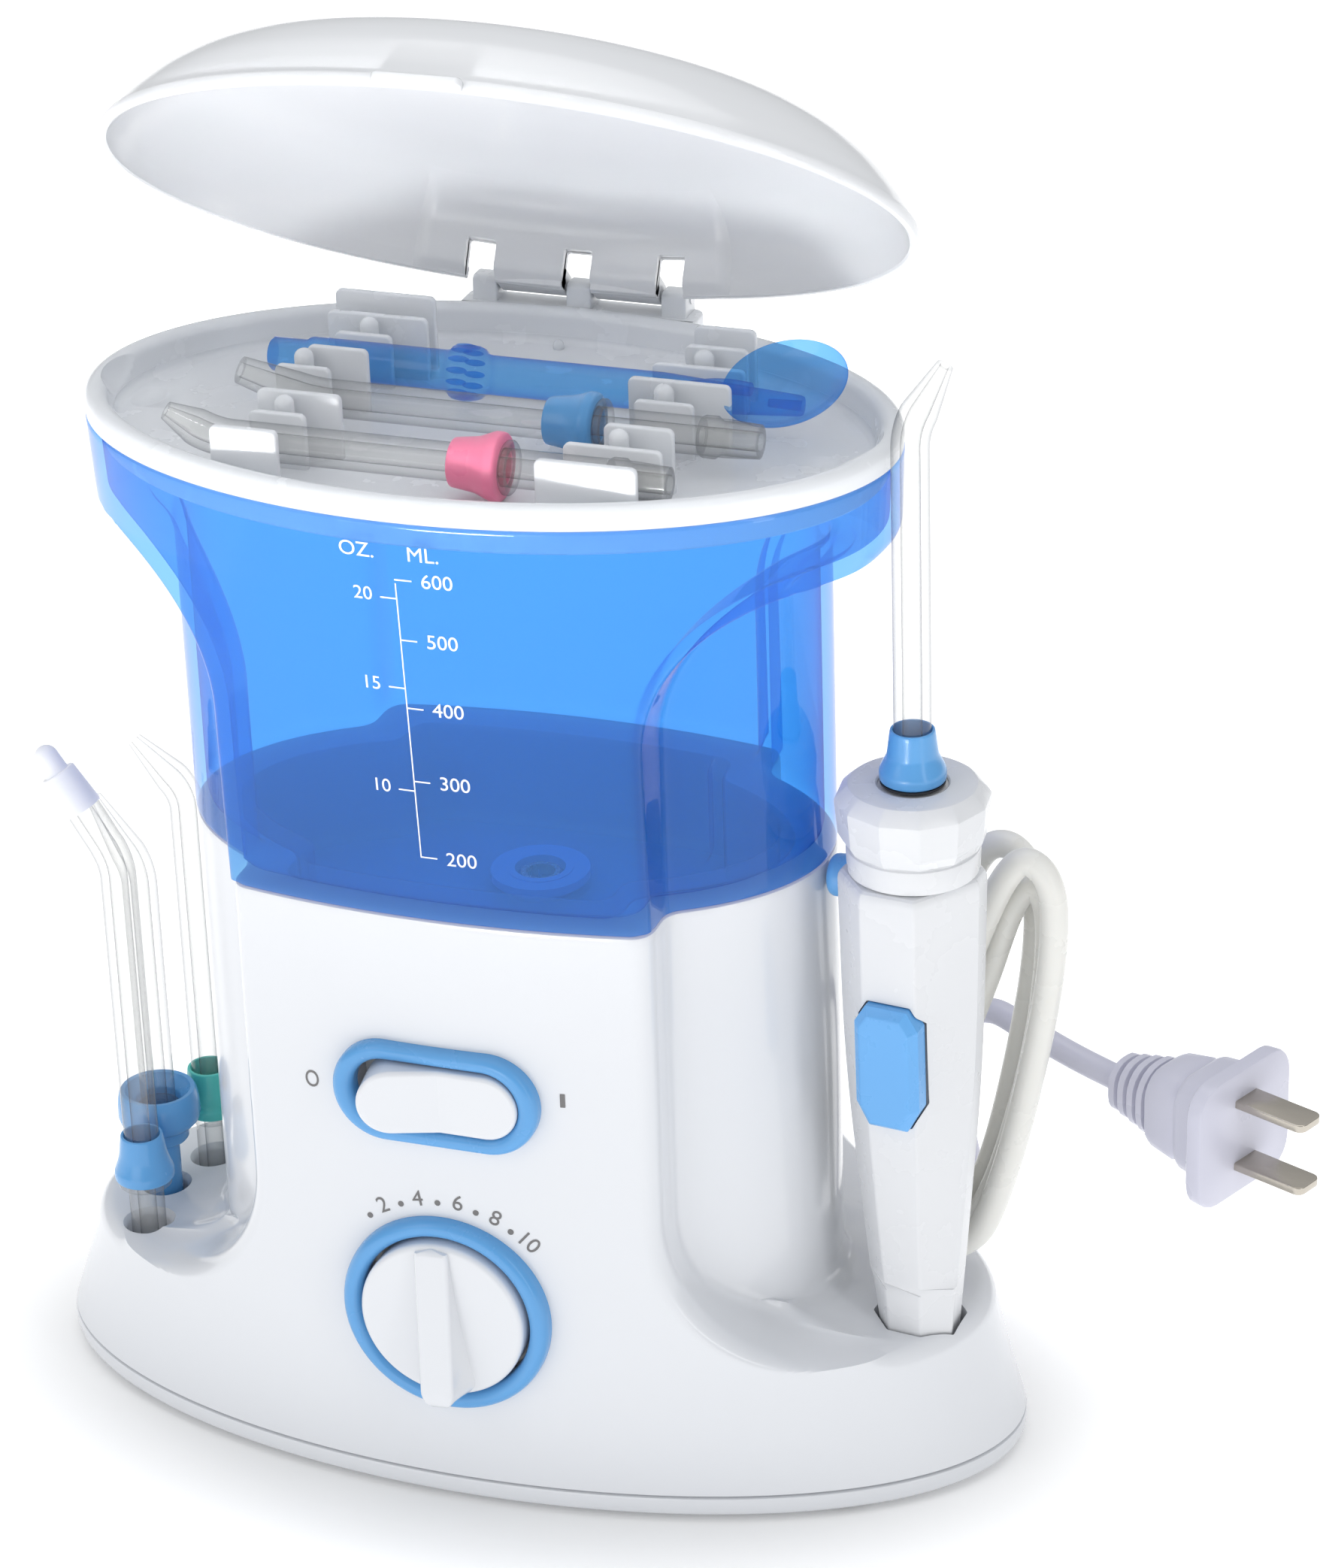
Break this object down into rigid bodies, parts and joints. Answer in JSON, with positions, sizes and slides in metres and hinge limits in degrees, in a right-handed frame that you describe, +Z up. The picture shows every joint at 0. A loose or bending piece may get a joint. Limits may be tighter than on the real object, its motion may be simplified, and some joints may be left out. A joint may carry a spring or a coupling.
{
  "type": "water flosser",
  "caption": "Countertop oral irrigator: oval base with switch and pressure dial, lift-off tinted tank, tip tray under a hinged lid, upright wand with hose, spray tips and mains plug",
  "frame": {"origin": "centre of the pad in the middle of the underside, level with the feet", "axes": "+Z up, the switch and dial face -Y, the wand stands on the +X ledge"},
  "size_m": [0.2369, 0.105, 0.2656],
  "materials": {
    "white_abs": "glossy cool-white moulded ABS",
    "sky_plastic": "satin-gloss sky-blue plastic",
    "tank_blue": "clear azure tinted plastic",
    "clear_plastic": "water-clear polycarbonate",
    "pink_plastic": "satin pink plastic",
    "teal_plastic": "satin teal plastic",
    "brush_white": "white nylon brush and ferrule",
    "hose_white": "off-white flexible hose, satin",
    "cord_lavender": "pale lavender-grey PVC",
    "nickel": "nickel-plated brass blades",
    "rubber_black": "black moulded rubber",
    "steel": "turned and plated steel",
    "zinc_can": "zinc-plated motor can",
    "inner_plastic": "black glass-filled nylon",
    "pump_plastic": "natural acetal",
    "gear_acetal": "white acetal",
    "brass": "machined brass",
    "board_green": "solder-masked circuit board"
  },
  "bodies": {
    "base_body": {"base_plate": "white_abs", "rubber_feet": "rubber_black", "base_screws": "steel", "body_shell": "white_abs", "switch_ring": "sky_plastic", "dial_ring": "sky_plastic", "switch_module": "inner_plastic", "circuit_board": "board_green", "motor": "zinc_can", "gear_chassis": "inner_plastic", "pump_housing": "pump_plastic", "pump_head": "pump_plastic", "pressure_valve": "inner_plastic", "inlet_pipe": "pump_plastic", "outlet_pipe": "pump_plastic", "tank_seat_seal": "rubber_black", "hose_nozzle": "white_abs", "power_cord": "cord_lavender", "cord_bushing": "cord_lavender", "plug_body": "cord_lavender", "plug_blades": "nickel", "water_hose": "hose_white"},
    "switch_rocker_body": {"switch_rocker": "white_abs"},
    "dial_body": {"pressure_dial": "white_abs", "dial_spindle": "brass"},
    "pinion_body": {"motor_pinion": "brass"},
    "gear_body": {"crank_gear": "gear_acetal"},
    "rod_body": {"connecting_rod": "steel"},
    "piston_body": {"pump_piston": "pump_plastic"},
    "inlet_ball_body": {"inlet_ball": "steel"},
    "outlet_ball_body": {"outlet_ball": "steel"},
    "tank_body": {"tank": "tank_blue", "tank_valve_body": "white_abs", "tank_valve_spring": "steel"},
    "plunger_body": {"tank_valve_plunger": "inner_plastic"},
    "tray_body": {"tip_tray": "white_abs", "hinge_pin": "steel"},
    "lid_body": {"lid": "white_abs"},
    "scraper_body": {"scraper_tip": "tank_blue"},
    "blue_tray_body": {"blue_tray_tube": "clear_plastic", "blue_tray_ring": "sky_plastic"},
    "pink_tray_body": {"pink_tray_tube": "clear_plastic", "pink_tray_ring": "pink_plastic"},
    "front_tip_body": {"front_tip_tube": "clear_plastic", "front_tip_ring": "sky_plastic", "front_tip_brush": "brush_white"},
    "middle_tip_body": {"middle_tip_tube": "clear_plastic", "middle_tip_ring": "sky_plastic"},
    "rear_tip_body": {"rear_tip_tube": "clear_plastic", "rear_tip_ring": "teal_plastic"},
    "wand_body": {"wand_front_shell": "white_abs", "wand_back_shell": "white_abs", "pause_valve": "inner_plastic"},
    "pause_button_body": {"pause_button": "sky_plastic"},
    "release_button_body": {"release_button": "sky_plastic"},
    "rotator_body": {"rotator_collar": "white_abs", "fitted_tip_tube": "clear_plastic", "fitted_tip_ring": "sky_plastic"}
  },
  "joints": [
    {"name": "power_switch", "type": "hinge", "parent": "base_body", "child": "switch_rocker_body", "pos_m": [0, -0.0342, 0.0824], "axis": [0, 0, 1], "range_deg": [-12, 0]},
    {"name": "pressure_dial_turn", "type": "hinge", "parent": "base_body", "child": "dial_body", "pos_m": [0, -0.04, 0.0391], "axis": [0, 1, 0], "range_deg": [-35, 53]},
    {"name": "gear_spin", "type": "hinge", "parent": "base_body", "child": "gear_body", "pos_m": [-0.004, 0.008, 0.041], "axis": [0, 0, 1], "continuous": true},
    {"name": "pinion_spin", "type": "hinge", "parent": "base_body", "child": "pinion_body", "pos_m": [-0.02815, 0.008, 0.041], "axis": [0, 0, 1], "continuous": true},
    {"name": "rod_swing", "type": "hinge", "parent": "gear_body", "child": "rod_body", "pos_m": [-0.001, 0.008, 0.0335], "axis": [0, 0, 1], "continuous": true},
    {"name": "piston_stroke", "type": "slide", "parent": "base_body", "child": "piston_body", "axis": [1, 0, 0], "range_m": [-0.006, 0]},
    {"name": "inlet_ball_lift", "type": "slide", "parent": "base_body", "child": "inlet_ball_body", "axis": [0, 0, 1], "range_m": [0, 0.0009]},
    {"name": "outlet_ball_lift", "type": "slide", "parent": "base_body", "child": "outlet_ball_body", "axis": [0, 0, 1], "range_m": [0, 0.0009]},
    {"name": "tank_lift", "type": "slide", "parent": "base_body", "child": "tank_body", "axis": [0, 0, 1], "range_m": [0, 0.04]},
    {"name": "valve_plunger_travel", "type": "slide", "parent": "tank_body", "child": "plunger_body", "axis": [0, 0, 1], "range_m": [-0.002, 0], "deforming": ["tank_valve_spring"]},
    {"name": "tray_lift", "type": "slide", "parent": "tank_body", "child": "tray_body", "axis": [0, 0, 1], "range_m": [0, 0.03]},
    {"name": "lid_hinge", "type": "hinge", "parent": "tray_body", "child": "lid_body", "pos_m": [0, 0.0483, 0.198], "axis": [1, 0, 0], "range_deg": [-40, 41]},
    {"name": "scraper_lift", "type": "slide", "parent": "tray_body", "child": "scraper_body", "axis": [0, 0, -1], "range_m": [-0.014, 0]},
    {"name": "blue_tip_lift", "type": "slide", "parent": "tray_body", "child": "blue_tray_body", "axis": [0, 0, -1], "range_m": [-0.018, 0]},
    {"name": "pink_tip_lift", "type": "slide", "parent": "tray_body", "child": "pink_tray_body", "axis": [0, 0, -1], "range_m": [-0.018, 0]},
    {"name": "front_tip_lift", "type": "slide", "parent": "base_body", "child": "front_tip_body", "axis": [0, 0, 1], "range_m": [0, 0.04]},
    {"name": "middle_tip_lift", "type": "slide", "parent": "base_body", "child": "middle_tip_body", "axis": [0, 0, 1], "range_m": [0, 0.04]},
    {"name": "rear_tip_lift", "type": "slide", "parent": "base_body", "child": "rear_tip_body", "axis": [0, 0, 1], "range_m": [0, 0.04]},
    {"name": "wand_lift", "type": "slide", "parent": "base_body", "child": "wand_body", "axis": [0, 0, 1], "range_m": [0, 0.034], "deforming": ["water_hose"]},
    {"name": "pause_press", "type": "slide", "parent": "wand_body", "child": "pause_button_body", "axis": [0.1132, 0.9936, 0], "range_m": [0, 0.0015]},
    {"name": "tip_release_press", "type": "slide", "parent": "wand_body", "child": "release_button_body", "axis": [1, 0, 0], "range_m": [0, 0.0015]},
    {"name": "tip_rotator_spin", "type": "hinge", "parent": "wand_body", "child": "rotator_body", "pos_m": [0.0755, -0.0046, 0.128], "axis": [0, 0, 1], "continuous": true}
  ],
  "couplings": [
    {"joint": "pinion_spin", "follows": "gear_spin", "ratio": -4},
    {"joint": "rod_swing", "follows": "gear_spin", "ratio": -1},
    {"joint": "valve_plunger_travel", "follows": "tank_lift", "ratio": -0.05}
  ]
}
